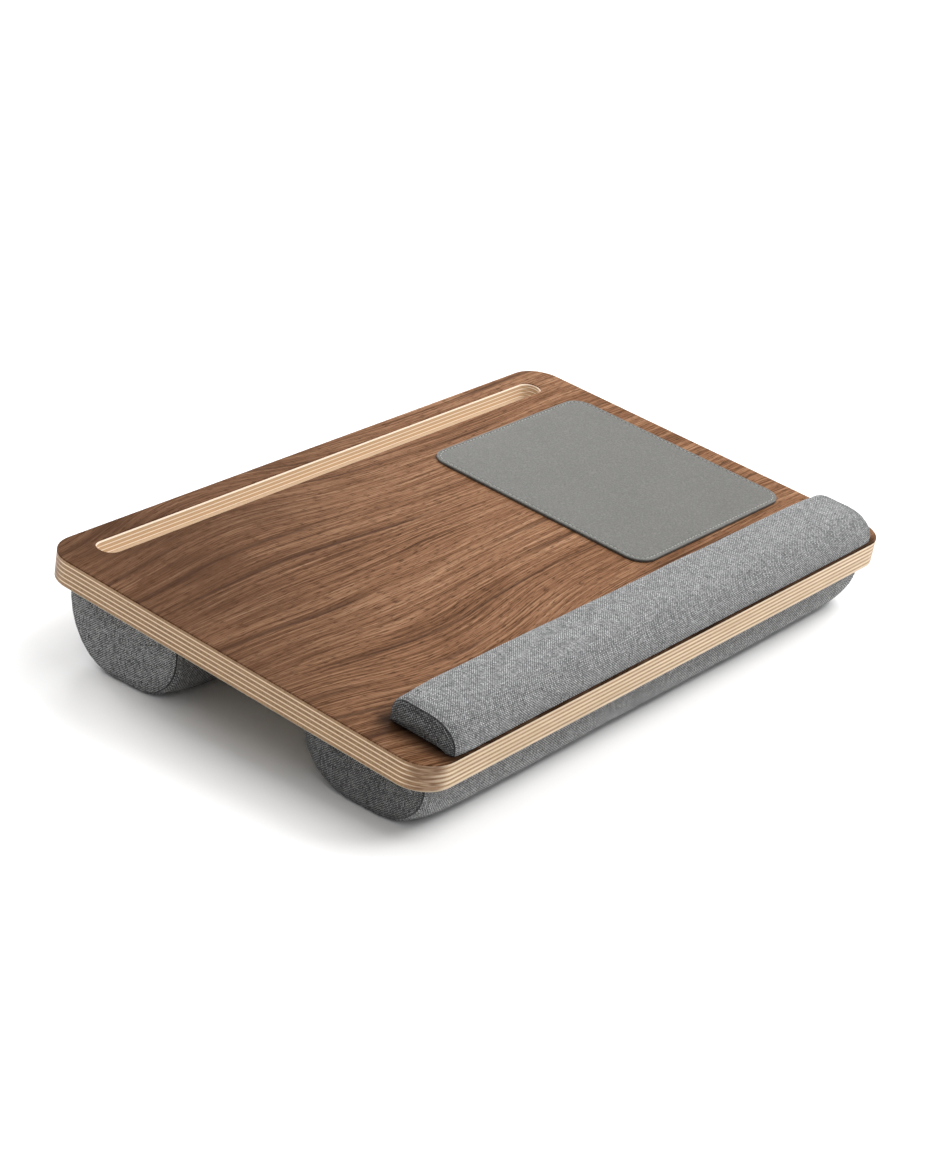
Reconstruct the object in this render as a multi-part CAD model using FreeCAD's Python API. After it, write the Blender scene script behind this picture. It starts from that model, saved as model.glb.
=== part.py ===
import FreeCAD
import Part
import math
import os
from collections import namedtuple

Vector = FreeCAD.Vector

# Lap desk: a sheet of walnut-faced birch plywood with a routed device slot, a mouse
# pad and a wrist rest on top, held on two sewn bolster cushions.
# X runs along the long side, Y from the user to the rear edge, Z up from the floor.
# What lies on the board is drawn in the board's own frame, with its origin in the
# middle of the top face, and is then tilted and lifted with the board.

# Board
board_width = 490.0
board_depth = 310.0
board_corner_radius = 22.0
board_tilt = 4.0
deck_height = 63.2
face_veneer_thickness = 0.75
ply_thickness = 1.5
ply_count = 11
back_veneer_thickness = 0.75
rim_ease = 0.35

# Device slot, routed from the top face with an eased rim
slot_end_margin = 27.0
slot_width = 16.3
slot_rear_margin = 14.7
slot_ply_count = 7
slot_ease = 0.6

# Mouse pad: leather face over a thin backing that stands in a little
pad_width = 168.0
pad_depth = 182.0
pad_right_margin = 19.4
pad_front_margin = 73.6
pad_corner_radius = 14.0
pad_leather_thickness = 1.2
pad_leather_ease = 0.4
pad_backing_thickness = 0.9
pad_backing_inset = 0.6

# Wrist rest: its margins run from the board's ends to its seams. Each cushion's section
# has two straight walls, a flat crown and a round corner between them, whose sizes are
# those of its middle. At its seams it is drawn in, and its corners are larger by the slack
rest_left_margin = 24.5
rest_right_margin = 21.0
rest_depth = 50.8
rest_height = 20.8
rest_front_margin = 1.3
rest_crown_width = 19.3
rest_front_wall = 4.7
rest_rear_reach = 10.0
rest_rear_wall = 10.0
rest_side_draw = 1.1
rest_crown_draw = 3.2
rest_corner_slack = 1.5
rest_dome = 2.4
rest_fabric = 1.0
rest_base_thickness = 2.0

# Both bolster cushions: margin from the board's end to the seam, cover, end bulge, and
# how much their seams are drawn in
bolster_end_margin = 14.0
bolster_fabric = 1.2
bolster_dome = 2.5
bolster_side_draw = 1.6
bolster_crown_draw = 0.9
bolster_corner_slack = 12.5
bolster_flat_cut = 0.5

# Front bolster, placed from the board's front edge
front_bolster_margin = 10.4
front_bolster_depth = 95.4
front_bolster_crown_width = 42.9
front_bolster_outer_reach = 21.7
front_bolster_outer_wall = 16.2
front_bolster_inner_wall = 16.8

# Rear bolster, placed from the board's rear edge
rear_bolster_margin = 10.0
rear_bolster_depth = 95.8
rear_bolster_crown_width = 46.1
rear_bolster_outer_reach = 29.6
rear_bolster_outer_wall = 17.9
rear_bolster_inner_wall = 26.7

# Hook-and-loop strips that hold the cushions to the board, placed from the seams
strip_end_margin = 28.5
strip_width = 25.0
strip_edge_gap = 9.0
hook_thickness = 1.2
loop_thickness = 1.2

# How a cushion fills out: stations along half its length, how late it narrows, and
# the sizes and heights of the rings of its bulging end
station_shares = (0.45, 0.7, 0.82, 0.9, 0.96, 1.0)
narrowing_power = 16
dome_size_shares = (1.0, 0.84, 0.6, 0.3)
dome_height_shares = (0.0, 0.5, 0.85, 1.0)

# Overrun of each cutting block, and the shortest edge that is drawn
overrun = 10.0
least_edge = 0.001

# Sizes that follow from the ones above
tilt = math.radians(board_tilt)
board_thickness = face_veneer_thickness + ply_count * ply_thickness + back_veneer_thickness
slot_length = board_width - 2 * slot_end_margin
slot_y = board_depth / 2 - slot_rear_margin - slot_width / 2
pad_x = board_width / 2 - pad_right_margin - pad_width / 2
pad_y = -board_depth / 2 + pad_front_margin + pad_depth / 2
rest_length = board_width - rest_left_margin - rest_right_margin
rest_x = (rest_left_margin - rest_right_margin) / 2
bolster_length = board_width - 2 * bolster_end_margin
strip_length = bolster_length - 2 * strip_end_margin
mount_drop = board_thickness + hook_thickness + loop_thickness
origin_shift = board_thickness * math.sin(tilt) / 2

# A cushion's section: the faces of its walls, the reach and rise of both corners, and
# where its crown and its flat mounting side lie. Its crown points along the way value.
Cushion = namedtuple("Cushion", """front rear front_reach front_rise rear_reach rear_rise
                     half_length side_draw crown_draw corner_slack dome fabric
                     crown_z way mount_height""")


def rest_mount_height(y, lining):
    """Height from the wrist rest's crown down to the face of the board."""
    return rest_height


def bolster_mount_height(y, lining):
    """Height from a bolster's crown up to the tilted face that meets the strips."""
    drop = (mount_drop + lining) / math.cos(tilt)
    return bolster_flat_cut + deck_height + y * math.tan(tilt) - drop


rest_front = -board_depth / 2 + rest_front_margin
wrist_rest = Cushion(
    rest_front, rest_front + rest_depth,
    rest_depth - rest_crown_width - rest_rear_reach, rest_height - rest_front_wall,
    rest_rear_reach, rest_height - rest_rear_wall,
    rest_length / 2, rest_side_draw, rest_crown_draw, rest_corner_slack,
    rest_dome, rest_fabric, rest_height, 1, rest_mount_height)


def bolster(front, rear, front_reach, front_wall, rear_reach, rear_wall):
    """Describes a bolster whose corners start where its straight walls end."""
    front_rise = bolster_mount_height(front, 0) - front_wall
    rear_rise = bolster_mount_height(rear, 0) - rear_wall
    return Cushion(
        front, rear, front_reach, front_rise, rear_reach, rear_rise,
        bolster_length / 2, bolster_side_draw, bolster_crown_draw, bolster_corner_slack,
        bolster_dome, bolster_fabric, -bolster_flat_cut, -1, bolster_mount_height)


front_face = -board_depth / 2 * math.cos(tilt) + front_bolster_margin
front_bolster = bolster(
    front_face, front_face + front_bolster_depth,
    front_bolster_outer_reach, front_bolster_outer_wall,
    front_bolster_depth - front_bolster_crown_width - front_bolster_outer_reach,
    front_bolster_inner_wall)

rear_face = board_depth / 2 * math.cos(tilt) - rear_bolster_margin
rear_bolster = bolster(
    rear_face - rear_bolster_depth, rear_face,
    rear_bolster_depth - rear_bolster_crown_width - rear_bolster_outer_reach,
    rear_bolster_inner_wall,
    rear_bolster_outer_reach, rear_bolster_outer_wall)


def on_board(shape):
    """Takes a shape from the board's own frame to its tilted place above the floor."""
    shape.rotate(Vector(0, 0, 0), Vector(1, 0, 0), board_tilt)
    shape.translate(Vector(0, 0, deck_height))
    return shape


def block(x0, x1, y0, y1, z0, z1):
    """Makes a box between two corners."""
    return Part.makeBox(x1 - x0, y1 - y0, z1 - z0, Vector(x0, y0, z0))


def slab(x0, x1, z0, z1):
    """Makes a box between two X and two Z places that runs past the board front and rear."""
    y_end = board_depth / 2 + overrun
    return block(x0, x1, -y_end, y_end, z0, z1)


def round_outline(width, depth, radius, x, y, z):
    """Draws a level rectangle with round corners, which may be round-ended."""
    x_reach = width / 2 - radius
    y_reach = depth / 2 - radius
    signs = ((1, 1), (-1, 1), (-1, -1), (1, -1))
    corners = []
    for quarter, (x_sign, y_sign) in enumerate(signs):
        centre = Vector(x + x_sign * x_reach, y + y_sign * y_reach, z)
        angles = [math.radians(45 * (2 * quarter + step)) for step in range(3)]
        corners.append([centre + Vector(math.cos(a), math.sin(a), 0) * radius for a in angles])
    edges = []
    for corner, following in zip(corners, corners[1:] + corners[:1]):
        edges.append(Part.Arc(*corner).toShape())
        if corner[2].distanceToPoint(following[0]) > least_edge:
            edges.append(Part.LineSegment(corner[2], following[0]).toShape())
    return Part.Wire(edges)


def prism(outline, height):
    """Raises a level outline to a solid."""
    return Part.Face(outline).extrude(Vector(0, 0, height))


def eased(sheet, z, ease):
    """Chamfers the rim of a sheet where it lies at height z."""
    rim = [edge for edge in sheet.Edges
           if abs(edge.BoundBox.ZMin - z) < least_edge and abs(edge.BoundBox.ZMax - z) < least_edge]
    return sheet.makeChamfer(ease, rim)


def board_sheet(top, thickness):
    """Makes one full layer of the board below height top."""
    outline = round_outline(board_width, board_depth, board_corner_radius, 0, 0, top - thickness)
    return prism(outline, thickness)


def slot_outline(growth, z):
    """Draws the round-ended slot, grown by so much all round."""
    width = slot_length + 2 * growth
    depth = slot_width + 2 * growth
    return round_outline(width, depth, depth / 2, 0, slot_y, z)


def face_veneer():
    """Makes the walnut face, whose slot opening stands back from the plies' slot."""
    sheet = eased(board_sheet(0, face_veneer_thickness), 0, rim_ease)
    opening = prism(slot_outline(slot_ease, -face_veneer_thickness - overrun), 2 * overrun)
    return sheet.cut(opening)


def birch_ply(number):
    """Makes one birch layer, numbered from the top, with its share of the slot."""
    top = -face_veneer_thickness - (number - 1) * ply_thickness
    sheet = board_sheet(top, ply_thickness)
    if number <= slot_ply_count:
        sheet = sheet.cut(prism(slot_outline(0, top - ply_thickness - overrun),
                                ply_thickness + 2 * overrun))
    if number == 1:
        rim = Part.makeLoft([slot_outline(0, top - slot_ease), slot_outline(slot_ease, top)],
                            True, True)
        sheet = sheet.cut(rim)
    return sheet


def back_veneer():
    """Makes the pale veneer on the underside."""
    sheet = board_sheet(back_veneer_thickness - board_thickness, back_veneer_thickness)
    return eased(sheet, -board_thickness, rim_ease)


def mouse_pad():
    """Makes the pad's leather face and the backing under it."""
    inset = pad_backing_inset
    backing = prism(
        round_outline(pad_width - 2 * inset, pad_depth - 2 * inset, pad_corner_radius - inset,
                      pad_x, pad_y, 0), pad_backing_thickness)
    leather = prism(
        round_outline(pad_width, pad_depth, pad_corner_radius,
                      pad_x, pad_y, pad_backing_thickness), pad_leather_thickness)
    top = pad_backing_thickness + pad_leather_thickness
    return eased(leather, top, pad_leather_ease), backing


def corner_arcs(centre, wall, crown):
    """Rounds a corner along an ellipse from its wall to its crown, as two arcs.

    The wall and crown vectors lead from the centre to the corner's two ends.
    """
    angles = [math.radians(22.5 * step) for step in range(5)]
    points = [centre + wall * math.cos(a) + crown * math.sin(a) for a in angles]
    return [points[:3], points[2:]]


def section(cushion, x, lining, narrowing):
    """Draws a cushion's D-shaped section at x, inside a lining and narrowed by a share."""
    side = lining + cushion.side_draw * narrowing
    crown = lining + cushion.crown_draw * narrowing
    slack = cushion.corner_slack * narrowing

    def point(y, height):
        return Vector(x, y, cushion.crown_z - cushion.way * height)

    def corner(y, sign, middle_reach, middle_rise):
        reach = middle_reach + slack
        rise = middle_rise + slack
        centre = point(y + sign * reach, rise)
        to_wall = Vector(0, sign * (side - reach), 0)
        to_crown = Vector(0, 0, cushion.way * (rise - crown))
        return corner_arcs(centre, to_wall, to_crown)

    front_arcs = corner(cushion.front, 1, cushion.front_reach, cushion.front_rise)
    rear_arcs = corner(cushion.rear, -1, cushion.rear_reach, cushion.rear_rise)
    rear_arcs = [arc[::-1] for arc in rear_arcs[::-1]]
    front_mount = point(cushion.front + side, cushion.mount_height(cushion.front + side, lining))
    rear_mount = point(cushion.rear - side, cushion.mount_height(cushion.rear - side, lining))
    runs = [(front_mount, front_arcs[0][0]), *front_arcs,
            (front_arcs[1][2], rear_arcs[0][0]), *rear_arcs,
            (rear_arcs[1][2], rear_mount), (rear_mount, front_mount)]
    edges = []
    for run in runs:
        curve = Part.Arc(*run) if len(run) == 3 else Part.LineSegment(*run)
        edges.append(curve.toShape())
    return Part.Wire(edges)


def end_dome(outline, side, height):
    """Bulges a cushion's end outward from its last section."""
    middle = outline.BoundBox.Center
    rings = []
    for size_share, height_share in zip(dome_size_shares, dome_height_shares):
        ring = outline.copy()
        ring.scale(size_share, middle)
        ring.translate(Vector(side * height * height_share, 0, 0))
        rings.append(ring)
    return Part.makeLoft(rings, True, False)


def cushion_form(cushion, lining):
    """Makes a cushion's full form, or the room inside a lining of that thickness."""
    half_length = cushion.half_length - lining
    shares = [-share for share in station_shares[::-1]] + [0.0] + list(station_shares)
    sections = [section(cushion, half_length * share, lining, abs(share) ** narrowing_power)
                for share in shares]
    body = Part.makeLoft(sections, True, False)
    domes = [end_dome(sections[0], -1, cushion.dome), end_dome(sections[-1], 1, cushion.dome)]
    return body.fuse(domes)


def sewn_cover(cushion, cover):
    """Parts a cover at its end seams into the wrap and the two end panels."""
    seam = cushion.half_length - cushion.fabric
    end = cushion.half_length + cushion.dome + overrun
    low = -overrun
    high = deck_height + overrun
    wrap = cover.common(slab(-seam, seam, low, high))
    left_end = cover.common(slab(-end, -seam, low, high))
    right_end = cover.common(slab(seam, end, low, high))
    return wrap, left_end, right_end


def wrist_rest_pieces():
    """Makes the wrist rest: a cover over foam, on a stiff base inside the cover's rim."""
    room = cushion_form(wrist_rest, rest_fabric)
    cover = cushion_form(wrist_rest, 0).cut(room)
    wrap, left_end, right_end = sewn_cover(wrist_rest, cover)
    end = board_width / 2
    base = room.common(slab(-end, end, 0, rest_base_thickness))
    foam = room.common(slab(-end, end, rest_base_thickness, rest_height + overrun))
    pieces = {"wrist_rest_cover": wrap, "wrist_rest_end_left": left_end,
              "wrist_rest_end_right": right_end, "wrist_rest_foam": foam,
              "wrist_rest_base": base}
    for piece in pieces.values():
        piece.translate(Vector(rest_x, 0, 0))
    return pieces


def bolster_pieces(name, cushion):
    """Makes a bolster: foam in a sewn cover, closed by a flat panel under the board."""
    room = cushion_form(cushion, bolster_fabric)
    end = board_width / 2
    floor = slab(-end, end, -overrun, 0)
    cover = cushion_form(cushion, 0).cut(room).cut(floor)
    wrap, left_end, right_end = sewn_cover(cushion, cover)
    top_layer = on_board(slab(-end, end, -mount_drop - bolster_fabric, -mount_drop + overrun))
    return {name + "_cover": wrap.cut(top_layer), name + "_end_left": left_end,
            name + "_end_right": right_end, name + "_top_panel": wrap.common(top_layer),
            name + "_foam": room}


def strips(cushion, top, thickness):
    """Makes the two long strips of one bolster, below height top under the board."""
    slant = mount_drop * math.tan(tilt)
    front = cushion.front / math.cos(tilt) - slant + strip_edge_gap
    rear = cushion.rear / math.cos(tilt) - slant - strip_edge_gap - strip_width
    pair = [block(-strip_length / 2, strip_length / 2, y, y + strip_width, top - thickness, top)
            for y in (front, rear)]
    return Part.makeCompound(pair)


def board_pieces():
    """Makes every layer of the board from the walnut face down."""
    pieces = {"walnut_face_veneer": face_veneer()}
    for number in range(1, ply_count + 1):
        pieces["birch_ply_%02d" % number] = birch_ply(number)
    pieces["birch_back_veneer"] = back_veneer()
    return pieces


def strip_pieces():
    """Makes the hook side on the board and the loop side on each cushion."""
    pieces = {}
    for name, cushion in (("front", front_bolster), ("rear", rear_bolster)):
        hook_top = -board_thickness
        loop_top = hook_top - hook_thickness
        pieces[name + "_hook_strips"] = strips(cushion, hook_top, hook_thickness)
        pieces[name + "_loop_strips"] = strips(cushion, loop_top, loop_thickness)
    return pieces


def desk_pieces():
    """Gathers every piece at its place above the floor."""
    leather, backing = mouse_pad()
    tilted = {**board_pieces(), "mouse_pad_leather": leather, "mouse_pad_backing": backing,
              **wrist_rest_pieces(), **strip_pieces()}
    pieces = {name: on_board(shape) for name, shape in tilted.items()}
    pieces.update(bolster_pieces("front_bolster", front_bolster))
    pieces.update(bolster_pieces("rear_bolster", rear_bolster))
    return pieces


os.makedirs("parts", exist_ok=True)
for node, shape in desk_pieces().items():
    shape.translate(Vector(0, -origin_shift, 0))
    shape.exportStep("parts/%s.step" % node)
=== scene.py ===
import math

import bpy
from mathutils import Matrix, Vector, noise


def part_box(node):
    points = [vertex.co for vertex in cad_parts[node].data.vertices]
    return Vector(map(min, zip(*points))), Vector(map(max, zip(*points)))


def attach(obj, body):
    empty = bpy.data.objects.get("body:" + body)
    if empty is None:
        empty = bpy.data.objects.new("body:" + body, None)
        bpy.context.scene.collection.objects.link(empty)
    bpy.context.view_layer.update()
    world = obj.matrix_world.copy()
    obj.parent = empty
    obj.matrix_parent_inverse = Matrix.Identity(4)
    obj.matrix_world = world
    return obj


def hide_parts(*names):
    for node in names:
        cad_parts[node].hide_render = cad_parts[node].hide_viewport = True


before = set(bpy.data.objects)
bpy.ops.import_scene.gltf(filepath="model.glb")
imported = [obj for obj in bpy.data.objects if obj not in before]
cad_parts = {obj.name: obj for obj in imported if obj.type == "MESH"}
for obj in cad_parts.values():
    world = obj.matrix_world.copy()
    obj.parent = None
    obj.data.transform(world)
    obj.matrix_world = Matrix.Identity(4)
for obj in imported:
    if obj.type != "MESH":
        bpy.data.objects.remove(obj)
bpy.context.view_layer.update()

# Birch core: eleven rotary-cut plies, glued with the grain turned at each layer, so that one
# edge shows side grain and end grain in turn. The edges are left bare, sanded and clear
# coated, and the device slot is routed through the first seven.

board_tilt = math.radians(4.0)
face_thickness = 0.00075
ply_thickness = 0.0015
ply_count = 11
slot_line = 0.13215
slot_half_width = 0.0095
slot_half_length = 0.2195


class Shade:
    """A socket of a finish's node tree: sums and products on it add their Math nodes."""

    def __init__(self, tree, socket=None):
        self.tree = tree
        self.socket = socket

    def node(self, kind, settings=None, inputs=None, output=0):
        """Adds a node, sets its settings, then gives its sockets their values or links."""
        made = self.tree.nodes.new(kind)
        for name, setting in (settings or {}).items():
            if name == "stops":
                for place, colour in setting[1:-1]:
                    made.color_ramp.elements.new(place)
                for element, (place, colour) in zip(made.color_ramp.elements, setting):
                    element.position = place
                    element.color = colour
            else:
                setattr(made, name, setting)
        for name, value in (inputs or {}).items():
            if isinstance(value, Shade):
                self.tree.links.new(value.socket, made.inputs[name])
            else:
                made.inputs[name].default_value = value
        return Shade(self.tree, made.outputs[output])

    def maths(self, operation, *others):
        return self.node("ShaderNodeMath", {"operation": operation},
                         dict(enumerate((self, *others))))

    def __add__(self, other):
        return self.maths("ADD", other)

    __radd__ = __add__

    def __mul__(self, other):
        return self.maths("MULTIPLY", other)

    __rmul__ = __mul__

    def __sub__(self, other):
        return self.maths("SUBTRACT", other)

    def __rsub__(self, other):
        return self.node("ShaderNodeMath", {"operation": "SUBTRACT"}, {0: other, 1: self})

    def __truediv__(self, other):
        return self.maths("DIVIDE", other)

    def between(self, low, high, smooth=True):
        """Runs from 0 at low to 1 at high."""
        kind = "SMOOTHSTEP" if smooth else "LINEAR"
        return self.node("ShaderNodeMapRange", {"interpolation_type": kind},
                         {"Value": self, "From Min": low, "From Max": high})

    def parts(self):
        """Parts a vector into its X, Y and Z."""
        return [self.node("ShaderNodeSeparateXYZ", None, {0: self}, axis) for axis in "XYZ"]

    def joined(self, x, y, z=0.0):
        return self.node("ShaderNodeCombineXYZ", None, {"X": x, "Y": y, "Z": z})

    def noise(self, detail=2.0, roughness=0.5, distortion=0.0):
        """Reads soft noise at this vector, about one patch to each unit."""
        return self.node("ShaderNodeTexNoise", None,
                         {"Vector": self, "Scale": 1.0, "Detail": detail,
                          "Roughness": roughness, "Distortion": distortion})

    def blend(self, first, second, mode="MIX"):
        """Mixes two colours, with this value as the share of the second."""
        return self.node("ShaderNodeMix", {"data_type": "RGBA", "blend_type": mode},
                         {0: self, 6: first, 7: second}, 2)

    def into(self, socket):
        self.tree.links.new(self.socket, socket)


def paint(red, green, blue):
    """Turns the screen values of a colour into the shader's linear ones."""
    def linear(value):
        share = value / 255
        return share / 12.92 if share <= 0.04045 else ((share + 0.055) / 1.055) ** 2.4
    return (linear(red), linear(green), linear(blue), 1.0)


def new_finish(name, **constants):
    """Starts a material. Its constants are set on the shader's own sockets."""
    material = bpy.data.materials.new(name)
    material.use_nodes = True
    surface = material.node_tree.nodes["Principled BSDF"]
    for socket, value in constants.items():
        surface.inputs[socket.replace("_", " ")].default_value = value
    return material, surface.inputs, Shade(material.node_tree)


face_low, face_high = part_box("walnut_face_veneer")
deck_up = Vector((0, -math.sin(board_tilt), math.cos(board_tilt)))
deck_middle = (face_low + face_high) / 2 + deck_up * face_thickness / 2
deck = Matrix.Translation(deck_middle) @ Matrix.Rotation(board_tilt, 4, "X")


def board_place(shade):
    """Gives the place on the board, measured from the middle of its top face."""
    place = shade.node("ShaderNodeTexCoord", output="Object")
    return shade.node("ShaderNodeMapping", {"vector_type": "TEXTURE"},
                      {"Vector": place, "Location": deck_middle, "Rotation": (board_tilt, 0, 0)})


def birch_finish(number):
    """Birch, pale where it was cut along the grain and browner on its end grain."""
    along_x = number % 2 == 1
    material, surface, shade = new_finish("birch_ply_%02d_finish" % number, Roughness=0.5,
                                          Coat_Weight=0.08, Coat_Roughness=0.35)
    x, y, depth = board_place(shade).parts()
    facing = shade.node("ShaderNodeTexCoord", output="Normal").parts()
    across = facing[0] if along_x else facing[1]
    end_grain = (across * across).between(0.12, 0.8)
    seed = number * 3.7
    streaks = shade.joined(x * 14 + seed, y * 14, depth * 1700).noise(3.0)
    patches = shade.joined(x * 22, y * 22 + seed, depth * 60).noise(2.0)
    vessels = shade.joined(x * 900, y * 900, depth * 420 + seed).noise(2.0)
    within = ((depth * -1 - face_thickness) / ply_thickness).maths("FRACT")
    from_glue = within.maths("MINIMUM", 1 - within) * ply_thickness
    core = from_glue.between(0.0001, 0.0006)
    on_ends = (facing[0] * facing[0]).between(0.2, 0.8)
    side_tone = (streaks * 0.6 + patches * 0.4).between(0.3, 0.7)
    side = side_tone.blend(paint(200, 174, 142), paint(232, 210, 180))
    side = (on_ends * core * 0.8).blend(side, paint(244, 218, 184))
    side = (on_ends * (1 - core)).blend(side, paint(168, 132, 92))
    end_tone = (vessels * 0.6 + patches * 0.4).between(0.3, 0.7)
    end = end_tone.blend(paint(136, 101, 64), paint(172, 135, 94))
    end = ((1 - on_ends) * (1 - core) * 0.7).blend(end, paint(196, 168, 134))
    slanting = (facing[0] * facing[1]).maths("ABSOLUTE").between(0.1, 0.5)
    wavy = shade.joined(x * 70, y * 70, depth * 700 + patches * 3).noise(2.0)
    wood = end_grain.blend(side, end)
    wood = (slanting * (0.45 + wavy.between(0.42, 0.6) * 0.5)).blend(wood, paint(108, 68, 34))
    # Painted light in the slot: its walls and floor are lighter and paler than the same plies at
    # the outer edges, and the first ply's ledge at the rim is paler still.
    slot_light_mask = (1 - x.maths("ABSOLUTE").between(slot_half_length, slot_half_length + 0.001)) * (
        1 - (y - slot_line).maths("ABSOLUTE").between(slot_half_width, slot_half_width + 0.001))
    line = (core * 0.95).blend(paint(204, 174, 140), paint(255, 246, 230))
    cut = end_grain.blend(line, paint(208, 178, 144))
    cut = facing[2].between(0.5, 0.8).blend(cut, paint(246, 222, 200) if number == 1
                                            else paint(196, 172, 144))
    wood = (slot_light_mask * (0.85 + streaks * 0.2)).blend(wood, cut)
    glue = 1 - from_glue.between(0.00004, 0.0002)
    (glue * (0.2 + on_ends * 0.3)).blend(wood, paint(120, 88, 54)).into(surface["Base Color"])
    (0.46 + streaks * 0.14).into(surface["Roughness"])
    shade.node("ShaderNodeBump", None, {"Strength": 0.35, "Distance": 0.0002,
                                        "Height": streaks * 0.6 + vessels * 0.4}
               ).into(surface["Normal"])
    return material


for number in range(1, ply_count + 1):
    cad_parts["birch_ply_%02d" % number].material_slots[0].material = birch_finish(number)

# Back veneer: one pale sheet of rotary-cut birch on the underside, with broad soft figure.
# It is glued on with the core and clear coated.


def back_finish():
    """Pale birch face, its figure drawn out along the board."""
    material, surface, shade = new_finish("birch_back_finish", Roughness=0.5,
                                          Coat_Weight=0.08, Coat_Roughness=0.35)
    x, y, _ = board_place(shade).parts()
    wander = shade.joined(x * 3, y * 7).noise(2.0)
    line = y + wander * 0.06
    figure = shade.joined(x * 3.5, line * 70).noise(3.0)
    fibres = shade.joined(x * 30, line * 1300).noise(3.0)
    tone = (figure * 0.7 + fibres * 0.3).between(0.32, 0.68)
    tone.blend(paint(160, 143, 121), paint(190, 172, 148)).into(surface["Base Color"])
    (0.46 + fibres * 0.12).into(surface["Roughness"])
    shade.node("ShaderNodeBump", None, {"Strength": 0.3, "Distance": 0.0002, "Height": fibres}
               ).into(surface["Normal"])
    return material


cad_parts["birch_back_veneer"].material_slots[0].material = back_finish()

# Walnut face: sliced veneer with straight streaks that part round a long flame left of the
# middle. It is glued on the core, its rim is eased, and it is oiled to a satin finish.

flame_x, flame_y, flame_reach = -0.135, 0.022, 0.1
flame_spread = 0.22
base_low, base_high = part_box("wrist_rest_base")
rest_middle = (base_low.x + base_high.x) / 2
rest_half_length = (base_high.x - base_low.x) / 2
rest_line = -0.1283
rest_half_depth = 0.0254
painted_shadow_reach = 0.009


def walnut_finish():
    """Oiled walnut: streaks, dark growth lines and short pores along the board."""
    material, surface, shade = new_finish("walnut_finish", Roughness=0.5,
                                          Specular_IOR_Level=0.01)
    x, y, _ = board_place(shade).parts()
    from_flame = (x - flame_x) / flame_reach
    flame = (from_flame * from_flame * -1).maths("EXPONENT")
    wander = shade.joined(x * 3.6 + 3.0, y * 10).noise(2.0, 0.5)
    ripple = shade.joined(x * 14, y * 30).noise(2.0, 0.5)
    line = (y - flame_y) * (1 - flame * flame_spread) + wander * 0.016 + ripple * 0.0025
    broad = shade.joined(x * 2.2, line * 22).noise(2.0, 0.5)
    streaks = shade.joined(x * 3.4, line * 190 + 7.0).noise(3.0, 0.6)
    threads = shade.joined(x * 6, line * 560 + 3.0).noise(2.0, 0.6)
    fibres = shade.joined(x * 18, line * 1100).noise(2.0, 0.6)
    pores = shade.joined(x * 120, line * 1500).noise(1.0)
    # From the rear left to the right the mix of figure changes and the wood grows paler: part is
    # the wood's own tone, part is painted light, a sheen from the right.
    tone_and_sheen_side = (x - y * 1.1).between(-0.355, -0.01)
    tone = (broad * 0.12 + streaks * (0.13 + tone_and_sheen_side * 0.07) + threads * 0.3
            + fibres * (0.43 - tone_and_sheen_side * 0.07) + 0.01)
    wood = tone.node("ShaderNodeValToRGB", {"stops": [
        (0.34, paint(60, 38, 23)), (0.44, paint(98, 67, 45)), (0.51, paint(127, 91, 67)),
        (0.57, paint(146, 111, 84)), (0.66, paint(173, 138, 111))]}, {"Fac": tone})
    rings = (line * 46 + broad * 1.2 + x * 0.6).maths("FRACT")
    growth = rings.between(0.0, 0.05) * (1 - rings.between(0.05, 0.24))
    growth_depth = shade.joined(x * 5, line * 60 + 19).noise(2.0).between(0.42, 0.62) * 0.75
    wood = (growth * growth_depth).blend(wood, paint(52, 32, 21))
    dark_pores = pores.between(0.54, 0.66) * 0.6
    wood = dark_pores.blend(wood, paint(46, 28, 18))
    # Darker toward the rear left in soft clouds: part the wood's own tone, part painted shade
    # away from the light on the right.
    cloud = shade.joined(x * 9 + 5, y * 16).noise(2.0).between(0.3, 0.7)
    wood = ((1 - tone_and_sheen_side) * (0.5 + cloud * 0.4)).blend(wood, paint(64, 39, 22))
    # Painted shadow: the walnut is darkened almost to black close round the wrist rest's
    # footprint, fading over about a centimetre.
    beside_x = (x - rest_middle).maths("ABSOLUTE") - rest_half_length
    beside_y = (y - rest_line).maths("ABSOLUTE") - rest_half_depth
    away = (beside_x.maths("MAXIMUM", 0.0) + beside_y.maths("MAXIMUM", 0.0)) / painted_shadow_reach
    painted_rest_shadow = (away * away * -1).maths("EXPONENT")
    wood = (painted_rest_shadow * 0.78).blend(wood, paint(14, 8, 5))
    wood.into(surface["Base Color"])
    (0.4 + fibres * 0.14 + dark_pores * 0.2).into(surface["Roughness"])
    shade.node("ShaderNodeBump", None, {"Strength": 0.35, "Distance": 0.00015,
                                        "Height": fibres * 0.6 - dark_pores}
               ).into(surface["Normal"])
    return material


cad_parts["walnut_face_veneer"].material_slots[0].material = walnut_finish()

# Mouse pad backing: a thin dark rubber sheet, cut a little smaller than the leather and
# glued to the walnut.


def backing_finish():
    """Dull dark rubber with a fine tooth."""
    material, surface, shade = new_finish("pad_backing_finish", Roughness=0.85)
    place = shade.node("ShaderNodeTexCoord", output="Object")
    grit = place.node("ShaderNodeVectorMath", {"operation": "SCALE"},
                      {0: place, "Scale": 1500.0}).noise(2.0)
    grit.blend(paint(24, 24, 24), paint(46, 46, 46)).into(surface["Base Color"])
    shade.node("ShaderNodeBump", None, {"Strength": 0.3, "Distance": 0.0001, "Height": grit}
               ).into(surface["Normal"])
    return material


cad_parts["mouse_pad_backing"].material_slots[0].material = backing_finish()

# Mouse pad leather: fine pebbled grey hide with a rolled rim and a line of pale stitches,
# which draw it down into a shallow groove. It is glued and sewn to the backing.

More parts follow.
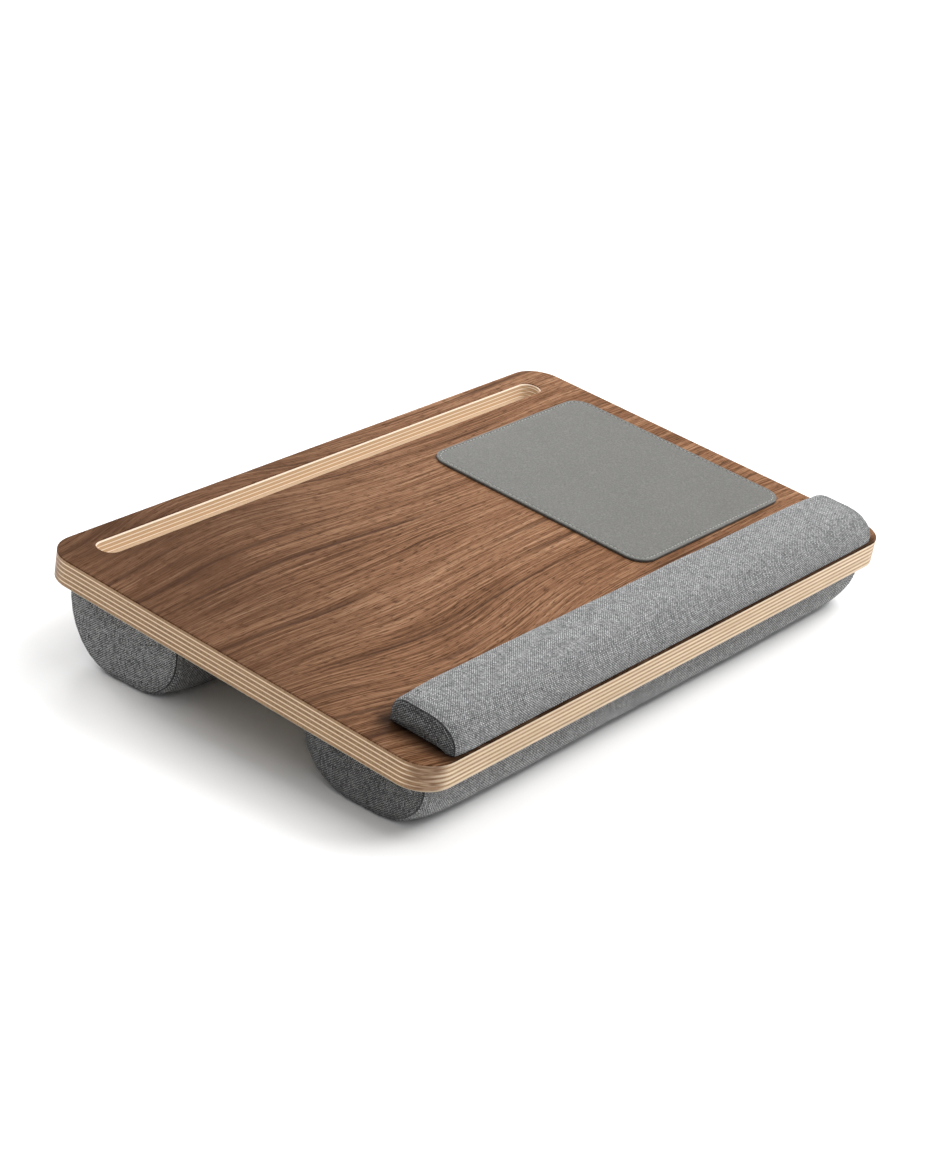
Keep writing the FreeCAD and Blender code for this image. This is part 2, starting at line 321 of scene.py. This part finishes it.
leather_thickness = 0.0012
backing_thickness = 0.0009
pad_corner = 0.014
stitch_inset = 0.0027
groove_depth = 0.00026
stitch_pitch = 0.0034
stitch_share = 0.66
thread_radius = 0.00025
pad_low, pad_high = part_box("mouse_pad_leather")
pad_width = pad_high.x - pad_low.x
pad_depth = (pad_high.y - pad_low.y - leather_thickness * math.sin(board_tilt)) \
    / math.cos(board_tilt)
pad_middle = deck.inverted() @ ((pad_low + pad_high) / 2)


def pad_ring(inset, height, corner_steps=12, side_steps=10):
    """Points round the pad's outline, drawn in by the inset, at a height over the board."""
    radius = max(pad_corner - inset, 0.002)
    x_reach = pad_width / 2 - inset - radius
    y_reach = pad_depth / 2 - inset - radius
    points = []
    for quarter, (x_sign, y_sign) in enumerate(((1, 1), (-1, 1), (-1, -1), (1, -1))):
        for step in range(corner_steps + 1):
            turn = math.pi / 2 * (quarter + step / corner_steps)
            points.append(Vector((pad_middle.x + x_sign * x_reach + radius * math.cos(turn),
                                  pad_middle.y + y_sign * y_reach + radius * math.sin(turn),
                                  height)))
        next_x, next_y = ((-1, 1), (-1, -1), (1, -1), (1, 1))[quarter]
        turn = math.pi / 2 * (quarter + 1)
        following = Vector((pad_middle.x + next_x * x_reach + radius * math.cos(turn),
                            pad_middle.y + next_y * y_reach + radius * math.sin(turn), height))
        last = points[-1]
        points += [last.lerp(following, step / side_steps) for step in range(1, side_steps)]
    return points


def mesh_piece(name, points, faces, finishes):
    """Makes one smooth-shaded piece and links it into the scene."""
    mesh = bpy.data.meshes.new(name)
    mesh.from_pydata(points, [], faces)
    for material in finishes:
        mesh.materials.append(material)
    mesh.shade_smooth()
    piece = bpy.data.objects.new(name, mesh)
    bpy.context.scene.collection.objects.link(piece)
    return piece


def band_faces(first, second, count):
    """Faces between two closed rings that start at those point numbers."""
    return [(first + n, first + (n + 1) % count, second + (n + 1) % count, second + n)
            for n in range(count)]


def leather_finish():
    """Grey hide: pebbles about a millimetre across, a faint cloudiness and a soft shine."""
    material, surface, shade = new_finish("pad_leather_finish", Roughness=0.55,
                                          Specular_IOR_Level=0.35)
    place = shade.node("ShaderNodeTexCoord", output="Object")
    x, y, z = place.parts()
    pebbles = shade.node("ShaderNodeTexVoronoi", {"feature": "SMOOTH_F1"},
                         {"Vector": place, "Scale": 900.0, "Smoothness": 0.6})
    creases = shade.joined(x * 260, y * 260, z * 260).noise(4.0, 0.6)
    cloud = shade.joined(x * 18, y * 18).noise(2.0)
    tone = (cloud * 0.14 + creases * 0.3 + pebbles * 0.7).between(0.15, 0.9)
    tone.blend(paint(70, 70, 67), paint(98, 97, 93)).into(surface["Base Color"])
    (0.5 + creases * 0.16).into(surface["Roughness"])
    height = pebbles * -0.6 + creases * 0.8
    shade.node("ShaderNodeBump", None, {"Strength": 0.4, "Distance": 0.0004, "Height": height}
               ).into(surface["Normal"])
    return material


def leather_sheet():
    """Builds the hide from its lower edge over the rolled rim and the stitch groove."""
    low = backing_thickness
    top = low + leather_thickness
    profile = [(0.0005, low), (0.00045, 0.0004), (0.0001, 0.0004), (0.0, 0.0006),
               (0.0, low + 0.0005), (0.00008, top - 0.00035), (0.0003, top - 0.0001),
               (0.0007, top), (0.0015, top), (0.0022, top - 0.00003),
               (stitch_inset - 0.0003, top - 0.0002), (stitch_inset, top - groove_depth),
               (stitch_inset + 0.0003, top - 0.0002), (0.0040, top - 0.00003),
               (0.0050, top), (0.012, top)]
    points = []
    faces = []
    for number, (inset, height) in enumerate(profile):
        ring = pad_ring(inset, height)
        if number:
            faces += band_faces(len(points) - len(ring), len(points), len(ring))
        points += ring
    count = len(ring)
    faces.append(tuple(range(len(points) - count, len(points))))
    faces.append(tuple(reversed(range(count))))
    piece = mesh_piece("mouse_pad_hide", [deck @ p for p in points], faces, [leather_finish()])
    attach(piece, "root")
    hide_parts("mouse_pad_leather")


leather_sheet()


def evenly_along(path, pitch):
    """Splits a path of points into places a pitch apart, each with its direction and with the
    number of the run it lies on. A closed path ends on its first point again."""
    lengths = [(b - a).length for a, b in zip(path, path[1:])]
    total = sum(lengths)
    count = round(total / pitch)
    places = []
    reached = 0.0
    number = 0
    for run, (a, b, length) in enumerate(zip(path, path[1:], lengths)):
        while number < count and number * total / count <= reached + length:
            share = (number * total / count - reached) / length
            places.append((a.lerp(b, share), (b - a).normalized(), run))
            number += 1
        reached += length
    return places


def stitch_shape(middle, along, up, length, radius, rings=7, sides=8):
    """Points and faces of one stitch: a short thread whose ends dip into their holes."""
    side = along.cross(up)
    points = []
    for ring in range(rings):
        share = ring / (rings - 1) * 2 - 1
        thick = radius * max(0.3, (1 - share ** 4) ** 0.5)
        centre = middle + along * share * length / 2 - up * radius * 0.9 * share ** 4
        for step in range(sides):
            turn = 2 * math.pi * step / sides
            points.append(centre + (side * math.cos(turn) + up * math.sin(turn)) * thick)
    faces = []
    for ring in range(rings - 1):
        faces += band_faces(ring * sides, (ring + 1) * sides, sides)
    faces.append(tuple(reversed(range(sides))))
    faces.append(tuple(range((rings - 1) * sides, rings * sides)))
    return points, faces


def stitch_row(name, places, pitch, radius, material):
    """Sews one row as a single piece. Each place is a point, its direction and its normal."""
    points = []
    faces = []
    for middle, along, up in places:
        shape, sides = stitch_shape(middle, along, up, pitch * stitch_share, radius)
        faces += [tuple(n + len(points) for n in face) for face in sides]
        points += shape
    piece = mesh_piece(name, points, faces, [material])
    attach(piece, "root")


def thread_finish(name, dark, light):
    """Twisted thread: slanting plies along each stitch."""
    material, surface, shade = new_finish(name, Roughness=0.7, Sheen_Weight=0.2)
    place = shade.node("ShaderNodeTexCoord", output="Object")
    x, y, z = place.parts()
    twist = ((x + y) * 9000 + z * 5000).maths("SINE") * 0.5 + 0.5
    twist.blend(dark, light).into(surface["Base Color"])
    shade.node("ShaderNodeBump", None, {"Strength": 0.4, "Distance": 0.0001, "Height": twist}
               ).into(surface["Normal"])
    return material


stitch_height = backing_thickness + leather_thickness - groove_depth + thread_radius * 0.75
stitch_path = pad_ring(stitch_inset, stitch_height)
pad_stitches = [(deck @ place, deck.to_3x3() @ along, deck_up) for place, along, _
                in evenly_along(stitch_path + stitch_path[:1], stitch_pitch)]
stitch_row("mouse_pad_stitching", pad_stitches, stitch_pitch, thread_radius,
           thread_finish("pad_thread_finish", paint(142, 144, 138), paint(186, 187, 180)))

# Wrist rest: heather-grey plain weave over firm foam, on a thin stiff base. The wrap is sewn
# to an end panel at each end, pulled tight over the base's rim and glued to the board.

warp_pitch = 0.00098
weft_pitch = 0.0008
swell_steps = 20
pull_clear = 1.5
seam_reach = 0.024
station_pitch = 0.0065
narrowing_power = 16
roll_reach = 0.0032
ridge_reach = 0.011
ridge_start = 0.002
gather_reach = 0.006
end_edge_rise = 0.52
away_from_seam = 50.0
soft_waves = ((26, 0.00045), (70, 0.00016))
top_thread_lift = 0.00012
top_thread_radius = 0.00021
top_thread_floor = 0.001


def woven_finish(name, painted_light_share, contrast):
    """Plain weave of mottled yarns, on a map that gives the place on the cloth in metres."""
    material, surface, shade = new_finish(name, Roughness=0.92, Sheen_Weight=0.12,
                                          Sheen_Roughness=0.5, Specular_IOR_Level=0.2)
    cloth = shade.node("ShaderNodeUVMap", {"uv_map": "Cloth"}, output="UV")
    u, v, _ = cloth.parts()
    drift = shade.joined(u * 60, v * 60).noise(1.0)
    u = (u + drift * 0.0006) / warp_pitch
    v = (v + drift * 0.0006) / weft_pitch
    warp_number = u.maths("FLOOR")
    weft_number = v.maths("FLOOR")
    warp_round = (u.maths("FRACT") * math.pi).maths("SINE")
    weft_round = (v.maths("FRACT") * math.pi).maths("SINE")
    over = ((warp_number + weft_number) * 0.5).maths("FRACT").maths("GREATER_THAN", 0.25)
    warp_height = warp_round * (0.55 + weft_round * 0.45)
    weft_height = weft_round * (0.55 + warp_round * 0.45)
    height = over * warp_height + (1 - over) * weft_height
    warp_tone = shade.joined(warp_number * 7.31, v * 0.14).noise(2.0, 0.6)
    weft_tone = shade.joined(u * 0.14, weft_number * 5.77, 31.0).noise(2.0, 0.6)
    fleck = shade.node("ShaderNodeTexWhiteNoise", {"noise_dimensions": "2D"},
                       {"Vector": shade.joined(warp_number, weft_number)})
    yarn = (over * warp_tone + (1 - over) * weft_tone).between(0.22, 0.78, smooth=False)
    tone = (yarn * 0.56 + fleck * 0.28 + over * 0.34 - 0.53) * contrast + 0.45
    cloth_colour = tone.node("ShaderNodeValToRGB", {"stops": [
        (0.0, paint(56, 57, 58)), (0.35, paint(118, 119, 120)), (0.6, paint(170, 171, 171)),
        (1.0, paint(242, 243, 242))]}, {"Fac": tone})
    # Painted shade: the hollows between the yarns are darkened in the colour.
    painted_hollow_shade = 0.12 + height * 0.88
    from_seam = shade.node("ShaderNodeAttribute", {"attribute_name": "from_seam"}, output="Fac")
    # Painted shade in the seam groove: the cloth is darkened along the seam.
    seam = 1 - from_seam.between(0.1, 0.55)
    rows = (from_seam * (2 * math.pi / 2.4)).maths("COSINE") * 0.5 + 0.5
    near = 1 - from_seam.between(1.5, 11.0)
    # The piece's own share then makes the whole cloth lighter or darker: painted light and shade.
    light = painted_hollow_shade * (1 - seam * 0.8) * (1 - rows * near * 0.35) * painted_light_share
    shaded = shade.node("ShaderNodeVectorMath", {"operation": "SCALE"},
                        {0: cloth_colour, "Scale": light})
    shaded.into(surface["Base Color"])
    shade.node("ShaderNodeBump", None, {"Strength": 0.8, "Distance": 0.0004, "Height": height}
               ).into(surface["Normal"])
    return material


def fill_out(piece, loose, most):
    """Lets the cloth swell under its stuffing. Only loose points move, each so far at most."""
    held = piece.vertex_groups.new(name="held")
    held.add([n for n, free in enumerate(loose) if not free], 1.0, "REPLACE")
    cloth = piece.modifiers.new("cloth", "CLOTH")
    cloth.settings.quality = 5
    cloth.settings.mass = 0.3
    cloth.settings.bending_stiffness = 1.0
    cloth.settings.shrink_min = -0.004
    cloth.settings.use_pressure = True
    cloth.settings.uniform_pressure_force = 4.0
    cloth.settings.effector_weights.gravity = 0.0
    cloth.settings.vertex_group_mass = held.name
    cloth.point_cache.frame_start, cloth.point_cache.frame_end = 1, swell_steps
    for frame_number in range(1, swell_steps + 1):
        bpy.context.scene.frame_set(frame_number)
    swollen = piece.evaluated_get(bpy.context.evaluated_depsgraph_get())
    places = [Vector(vertex.co) for vertex in swollen.data.vertices]
    piece.modifiers.remove(cloth)
    piece.vertex_groups.remove(held)
    bpy.context.scene.frame_set(1)
    for vertex, place, free in zip(piece.data.vertices, places, loose):
        move = place - vertex.co
        if free and move.length:
            vertex.co += move * min(1.0, most / move.length)


def d_section(sizes, narrowing):
    """Points round a cushion's D section as (y, height from the crown), and how many of them
    lie off the flat mounting side. Narrowing runs from 0 in the middle to 1 at the seams."""
    side_in, crown_in, slack = (sizes[name] * narrowing
                                for name in ("side_draw", "crown_draw", "slack"))
    front = sizes["front"] + side_in
    rear = sizes["rear"] - side_in
    front_reach, front_rise = (value + slack for value in sizes["front_corner"])
    rear_reach, rear_rise = (value + slack for value in sizes["rear_corner"])
    wall_steps, corner_steps, crown_steps, mount_steps = 5, 14, 8, 14
    points = []
    for step in range(wall_steps):
        share = step / wall_steps
        points.append((front, sizes["mount"](front) * (1 - share) + front_rise * share))
    for step in range(corner_steps):
        turn = math.pi / 2 * step / corner_steps
        points.append((sizes["front"] + front_reach - (front_reach - side_in) * math.cos(turn),
                       front_rise - (front_rise - crown_in) * math.sin(turn)))
    for step in range(crown_steps):
        share = step / crown_steps
        points.append(((sizes["front"] + front_reach) * (1 - share)
                       + (sizes["rear"] - rear_reach) * share, crown_in))
    for step in range(corner_steps):
        turn = math.pi / 2 * (1 - step / corner_steps)
        points.append((sizes["rear"] - rear_reach + (rear_reach - side_in) * math.cos(turn),
                       rear_rise - (rear_rise - crown_in) * math.sin(turn)))
    for step in range(wall_steps + 1):
        share = step / wall_steps
        points.append((rear, rear_rise * (1 - share) + sizes["mount"](rear) * share))
    showing = len(points)
    for step in range(1, mount_steps):
        y = rear + (front - rear) * step / mount_steps
        points.append((y, sizes["mount"](y)))
    return points, showing


def drawn_in(points, inset):
    """Moves a closed outline inward by the inset."""
    moved = []
    for number, (y, height) in enumerate(points):
        before = points[number - 1]
        after = points[(number + 1) % len(points)]
        run = Vector((after[0] - before[0], after[1] - before[1])).normalized()
        moved.append((y - run.y * inset, height + run.x * inset))
    return moved


def top_stitch(name, mesh, normals, ring_starts, showing, pitch):
    """Sews a row of pale stitches round the wrap beside each end's seam, clear of the floor."""
    places = []
    for start in ring_starts:
        ring = range(start + 1, start + showing - 1)
        path = [mesh.vertices[n].co + normals[n] * top_thread_lift for n in ring]
        places += [(place, along, normals[ring[run]])
                   for place, along, run in evenly_along(path, pitch)
                   if place.z > top_thread_floor]
    stitch_row(name + "_stitching", places, pitch, top_thread_radius,
               thread_finish(name + "_thread_finish", paint(120, 121, 122), paint(188, 189, 190)))


def stuffed_cushion(name, sizes, place, nodes):
    """Builds a sewn cushion round its foam: a wrap, two bulging ends, and a drawn-in seam
    between them with small gathers. place takes (x, y, height) to the frame."""
    half = sizes["length"] / 2
    outline, showing = d_section(sizes, 0)
    count = len(outline)
    seam_distances = [0.0, 0.0004, 0.0009, 0.0016, 0.0025, 0.0035, 0.0045, 0.0055, 0.0066,
                      0.0078, 0.009, 0.011, 0.014, 0.018, seam_reach]
    plain = [half - seam_reach - station_pitch * n
             for n in range(1, int((half - seam_reach) / station_pitch) + 1)]
    right = [half - d for d in seam_distances] + plain
    stations = [-x for x in right] + [0.0] + right[::-1]
    rings = []
    marks = []
    for x in stations:
        from_seam = half - abs(x)
        ring, _ = d_section(sizes, (abs(x) / half) ** narrowing_power)
        rolled = max(0.0, 1 - from_seam / roll_reach) ** 2 * sizes["seam_depth"]
        ridge = math.cos(2 * math.pi * from_seam / sizes["ridge_pitch"])
        ridge *= sizes["ridge"] * max(0.0, 1 - from_seam / ridge_reach)
        ridge *= min(1, from_seam / ridge_start)
        rings.append((x, drawn_in(ring, rolled - ridge)))
        marks.append(from_seam * 1000)
    end_rings = []
    base = rings[0][1]
    for inset, rise_share in ((0.0006, 0.16), (0.0014, 0.3), (0.0026, 0.42),
                              (0.0042, end_edge_rise)):
        end_rings.append((drawn_in(base, inset), rise_share, inset * 1000))
    last = end_rings[-1][0]
    middle_y = sum(p[0] for p in last) / count
    middle_height = sum(p[1] for p in last) / count
    for size_share in (0.86, 0.7, 0.5, 0.3, 0.12):
        rise_share = end_edge_rise + (1 - end_edge_rise) * (1 - size_share ** 2)
        end_rings.append(([(middle_y + (y - middle_y) * size_share,
                            middle_height + (h - middle_height) * size_share)
                           for y, h in last], rise_share, away_from_seam))
    layers = [(-half - sizes["dome"] * rise, ring, mark, True)
              for ring, rise, mark in reversed(end_rings)]
    layers += [(x, ring, mark, False) for (x, ring), mark in zip(rings, marks)]
    layers += [(half + sizes["dome"] * rise, ring, mark, True) for ring, rise, mark in end_rings]
    arc = [0.0]
    for before, after in zip(outline, outline[1:] + outline[:1]):
        arc.append(arc[-1] + math.hypot(after[0] - before[0], after[1] - before[1]))
    points = []
    faces = []
    kinds = []
    maps = []
    for number, (x, ring, _, on_end) in enumerate(layers):
        start = len(points)
        points += [place(x, y, h) for y, h in ring]
        if not number:
            continue
        x_before, ring_before, _, end_before = layers[number - 1]
        is_end = on_end or end_before
        for n, face in enumerate(band_faces(start - count, start, count)):
            faces.append(face)
            kinds.append(int(is_end))
            if is_end:
                m = (n + 1) % count
                maps.append([ring_before[n], ring_before[m], ring[m], ring[n]])
            else:
                maps.append([(x_before, arc[n]), (x_before, arc[n + 1]), (x, arc[n + 1]),
                             (x, arc[n])])
    for start, ring in ((0, layers[0][1]), (len(points) - count, layers[-1][1])):
        cap = tuple(range(start, start + count))
        faces.append(cap[::-1] if start == 0 else cap)
        kinds.append(1)
        maps.append(ring[::-1] if start == 0 else ring)
    cloths = [woven_finish(name + "_wrap_finish", sizes["wrap_painted_light"], 1.05),
              woven_finish(name + "_end_finish", sizes["end_painted_light"], 1.7)]
    piece = mesh_piece(name, points, faces, cloths)
    mesh = piece.data
    mesh.polygons.foreach_set("material_index", kinds)
    cloth = mesh.uv_layers.new(name="Cloth")
    flat = [value for face in maps for corner in face for value in corner]
    cloth.data.foreach_set("uv", flat)
    seam = mesh.attributes.new("from_seam", "FLOAT", "POINT")
    seam.data.foreach_set("value", [mark for _, _, mark, _ in layers for _ in range(count)])
    on_wrap = [not on_end and mark > pull_clear for _, _, mark, on_end in layers]
    fill_out(piece, [0 < n % count < showing - 1 and on_wrap[n // count]
                     for n in range(len(points))], sizes["swell"])
    normals = [Vector(v.normal) for v in mesh.vertices]
    for number, vertex in enumerate(mesh.vertices):
        layer, around = divmod(number, count)
        if around >= showing or around == 0:
            continue
        x, _, _, on_end = layers[layer]
        soft = sum(noise.noise(vertex.co * pace) * height for pace, height in soft_waves)
        from_seam = abs(half - abs(x)) + (ridge_start if on_end else 0.0)
        gather = math.sin(arc[around] * 2 * math.pi / sizes["gather_pitch"]
                          + 2.2 * noise.noise(vertex.co * 40 + Vector((7, 0, 0))))
        soft += gather * sizes["gather"] * math.exp(-from_seam / gather_reach)
        vertex.co += normals[number] * soft
        vertex.co.z = max(vertex.co.z, 0.0)
    if "stitch_pitch" in sizes:
        top_stitch(name, mesh, normals, [(len(end_rings) + ring) * count for ring in
                                         (sizes["stitch_ring"],
                                          len(rings) - 1 - sizes["stitch_ring"])],
                   showing, sizes["stitch_pitch"])
    full = piece.modifiers.new("fullness", "SUBSURF")
    full.levels = full.render_levels = 1
    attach(piece, "root")
    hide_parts(*nodes)


rest_low, rest_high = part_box("wrist_rest_cover")
rest_depth = 0.0508
rest_height = 0.0208
rest_front = -0.1537
rest_fabric = 0.001
rest_clearance = 0.00005
# The wrap and end shares scale the weave's brightness: the dark end panels are painted shade.
wrist_rest = dict(
    front=rest_front, rear=rest_front + rest_depth,
    front_corner=(0.0215, 0.0161), rear_corner=(0.010, 0.0108),
    mount=lambda y: rest_height - rest_clearance,
    length=rest_high.x - rest_low.x + 2 * rest_fabric,
    side_draw=0.0011, crown_draw=0.0032, slack=0.0015, dome=0.0024, seam_depth=0.0006,
    gather=0.00012, gather_pitch=0.006, ridge=0.00018, ridge_pitch=0.0024,
    wrap_painted_light=0.99, end_painted_light=0.47, swell=0.0006)


def on_rest(x, y, height):
    return deck @ Vector((rest_middle + x, y, rest_height - height))


stuffed_cushion("wrist_rest_cushion", wrist_rest, on_rest,
                ["wrist_rest_cover", "wrist_rest_end_left", "wrist_rest_end_right",
                 "wrist_rest_foam"])


def base_finish():
    """Brown fibreboard, fine and even."""
    material, surface, shade = new_finish("rest_base_finish", Roughness=0.8)
    x, y, z = board_place(shade).parts()
    fibre = shade.joined(x * 400, y * 400, z * 400).noise(3.0)
    fibre.blend(paint(150, 118, 84), paint(186, 152, 114)).into(surface["Base Color"])
    return material


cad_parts["wrist_rest_base"].material_slots[0].material = base_finish()

# Hook-and-loop strips: woven nylon tape. The hook side is glued under the board in two long
# rows for each bolster, and the matching loop side is sewn to the bolster's flat panel.


def tape_finish(name, pitch, dark, light):
    """Black tape with its rows of hooks or its brushed loops."""
    material, surface, shade = new_finish(name, Roughness=0.75, Sheen_Weight=0.2)
    x, y, z = board_place(shade).parts()
    rows = (x * (2 * math.pi / pitch)).maths("SINE") * (y * (2 * math.pi / pitch)).maths("SINE")
    nap = shade.joined(x * 900, y * 900, z * 900).noise(2.0)
    tone = (rows * 0.25 + nap * 0.5 + 0.2).between(0.1, 0.8)
    tone.blend(dark, light).into(surface["Base Color"])
    shade.node("ShaderNodeBump", None, {"Strength": 0.7, "Distance": 0.0004, "Height": tone}
               ).into(surface["Normal"])
    return material


hook_tape = tape_finish("hook_tape_finish", 0.0016, paint(14, 14, 15), paint(52, 52, 54))
loop_tape = tape_finish("loop_tape_finish", 0.0009, paint(20, 20, 22), paint(66, 66, 68))
for side in ("front", "rear"):
    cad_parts[side + "_hook_strips"].material_slots[0].material = hook_tape
    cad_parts[side + "_loop_strips"].material_slots[0].material = loop_tape

# Bolster cushions: two firm D-shaped foam cushions in the same weave, the rear one deeper, so
# that the board slopes to the user. Their end panels are sewn in and top-stitched.

mount_gap = 0.0024
crown_sink = 0.0005
bolster_fabric = 0.0012
# The same cloth is made lighter or darker piece by piece: the front wrap painted lighter, the
# rear wrap darker, and the end panels darker still. This is painted light and shade, not a second
# cloth.
bolsters = {
    "front_bolster": {"reach": (0.0217, 0.0308), "wall": (0.0162, 0.0168),
                      "wrap_painted_light": 1.16, "end_painted_light": 0.49},
    "rear_bolster": {"reach": (0.0201, 0.0296), "wall": (0.0267, 0.0179),
                     "wrap_painted_light": 0.8, "end_painted_light": 0.86}}
under_board = deck_middle - deck_up * (face_thickness + ply_count * ply_thickness
                                       + face_thickness + mount_gap)


def bolster_mount(y):
    """Height from a bolster's crown up to the tilted face that carries the strips."""
    return crown_sink + under_board.z + (y - under_board.y) * math.tan(board_tilt)


def on_floor(x, y, height):
    return Vector((x, y, height - crown_sink))


for name, corners in bolsters.items():
    low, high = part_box(name + "_cover")
    front_rise = bolster_mount(low.y) - corners["wall"][0]
    rear_rise = bolster_mount(high.y) - corners["wall"][1]
    sizes = dict(front=low.y, rear=high.y, mount=bolster_mount,
                 front_corner=(corners["reach"][0], front_rise),
                 rear_corner=(corners["reach"][1], rear_rise),
                 length=high.x - low.x + 2 * bolster_fabric,
                 side_draw=0.0016, crown_draw=0.0009, slack=0.0125, dome=0.0025,
                 seam_depth=0.0008, gather=0.00022, gather_pitch=0.0075, ridge=0.00008,
                 ridge_pitch=0.003, wrap_painted_light=corners["wrap_painted_light"],
                 end_painted_light=corners["end_painted_light"], swell=0.0008, stitch_ring=4,
                 stitch_pitch=0.0029)
    stuffed_cushion(
        name + "_cushion", sizes, on_floor,
        [name + part for part in ("_cover", "_end_left", "_end_right", "_top_panel", "_foam")])

# Studio: a wide pale floor under a plain white surround, seven large soft lamps round the
# object, and a camera where the photograph's was.

floor_reach = 9.0
surround_strength = 0.385
lamp_size = 0.9
lamp_distance = 2.2
full_power = 40.0
floor_mesh = bpy.data.meshes.new("floor")
floor_mesh.from_pydata([(-floor_reach, -floor_reach, 0), (floor_reach, -floor_reach, 0),
                        (floor_reach, floor_reach, 0), (-floor_reach, floor_reach, 0)],
                       [], [(0, 1, 2, 3)])
floor = bpy.data.objects.new("floor", floor_mesh)
bpy.context.scene.collection.objects.link(floor)
floor_material, floor_surface, _ = new_finish("floor_finish", Roughness=0.9)
floor_surface["Base Color"].default_value = (0.9, 0.9, 0.9, 1)
floor_mesh.materials.append(floor_material)

surround = bpy.data.worlds.new("surround")
surround.use_nodes = True
backdrop = surround.node_tree.nodes["Background"]
backdrop.inputs["Color"].default_value = (1, 1, 1, 1)
backdrop.inputs["Strength"].default_value = surround_strength
bpy.context.scene.world = surround


def soft_lamp(azimuth, elevation, share):
    """Hangs a square soft lamp round the object, turned to it. Its share is the part of full
    light that it gives the floor."""
    around, above = math.radians(azimuth), math.radians(elevation)
    way = Vector((math.cos(above) * math.cos(around), math.cos(above) * math.sin(around),
                  math.sin(above)))
    data = bpy.data.lights.new("soft_lamp_%d_%d" % (azimuth, elevation), "AREA")
    data.shape = "SQUARE"
    data.size = lamp_size
    data.energy = full_power * share / math.sin(above)
    lamp = bpy.data.objects.new(data.name, data)
    lamp.location = way * lamp_distance
    lamp.rotation_euler = (-way).to_track_quat("-Z", "Y").to_euler()
    bpy.context.scene.collection.objects.link(lamp)


for azimuth, elevation, share in ((0, 30, 0.21), (45, 30, 0.21), (90, 30, 0.32),
                                  (225, 50, 0.11), (315, 50, 0.47), (0, 70, 0.1),
                                  (270, 70, 0.26)):
    soft_lamp(azimuth, elevation, share)

camera_place = Vector((-1.29447, -0.928864, 0.800837))
camera_view = Vector((0.728046, 0.531508, -0.432953))
camera_right = Vector((0.626225, -0.772596, 0.104583))
camera_lens = 85.48
camera_data = bpy.data.cameras.new("camera")
camera_data.lens = camera_lens
camera = bpy.data.objects.new("camera", camera_data)
camera_up = camera_right.cross(camera_view)
turned = Matrix((camera_right, camera_up, -camera_view)).transposed()
camera.matrix_world = Matrix.Translation(camera_place) @ turned.to_4x4()
bpy.context.scene.collection.objects.link(camera)
bpy.context.scene.camera = camera
bpy.context.scene.view_settings.view_transform = "Standard"
